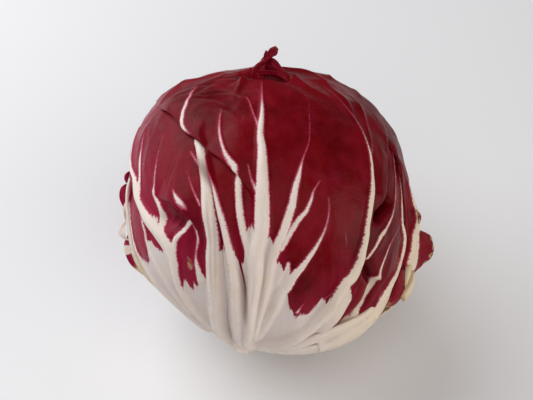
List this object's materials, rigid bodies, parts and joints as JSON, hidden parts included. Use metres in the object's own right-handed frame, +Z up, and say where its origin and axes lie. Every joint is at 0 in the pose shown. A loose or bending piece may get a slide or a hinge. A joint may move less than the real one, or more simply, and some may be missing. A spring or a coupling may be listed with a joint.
{
  "type": "radicchio head",
  "caption": "Round red radicchio head, cut from its root, of white-ribbed leaves lapped round a bud, lying on its lower flank.",
  "frame": {"origin": "middle of the flat spot under the head, on the surface that it rests on", "axes": "+Z up; +Y away from the side that shows the white ribs and the cut root; +X to the right of that side"},
  "size_m": [0.1332, 0.1194, 0.1263],
  "materials": {
    "red_leaf": "wine-red leaf blade with white ribs and a waxy sheen",
    "inner_leaf": "paler, matt leaf blade of the closed heart",
    "cut_stem": "cut, drying stem, cream turning tan"
  },
  "bodies": {
    "root": {"stem": "cut_stem", "bud": "inner_leaf", "inner_leaf_1": "inner_leaf", "inner_leaf_2": "inner_leaf", "inner_leaf_3": "inner_leaf", "inner_leaf_4": "inner_leaf", "inner_leaf_5": "inner_leaf", "inner_leaf_6": "inner_leaf", "inner_leaf_7": "inner_leaf", "inner_leaf_8": "inner_leaf", "inner_leaf_9": "inner_leaf", "inner_leaf_10": "inner_leaf", "wrapper_leaf_1": "red_leaf", "wrapper_leaf_2": "red_leaf", "wrapper_leaf_3": "red_leaf", "wrapper_leaf_4": "red_leaf", "wrapper_leaf_5": "red_leaf", "wrapper_leaf_6": "red_leaf", "wrapper_leaf_7": "red_leaf", "far_left_leaf": "red_leaf", "right_leaf": "red_leaf", "back_left_leaf": "red_leaf", "back_right_leaf": "red_leaf", "underside_leaf": "red_leaf", "left_leaf": "red_leaf", "front_leaf": "red_leaf", "broken_leaf_right": "red_leaf", "broken_leaf_left": "red_leaf"}
  },
  "joints": []
}
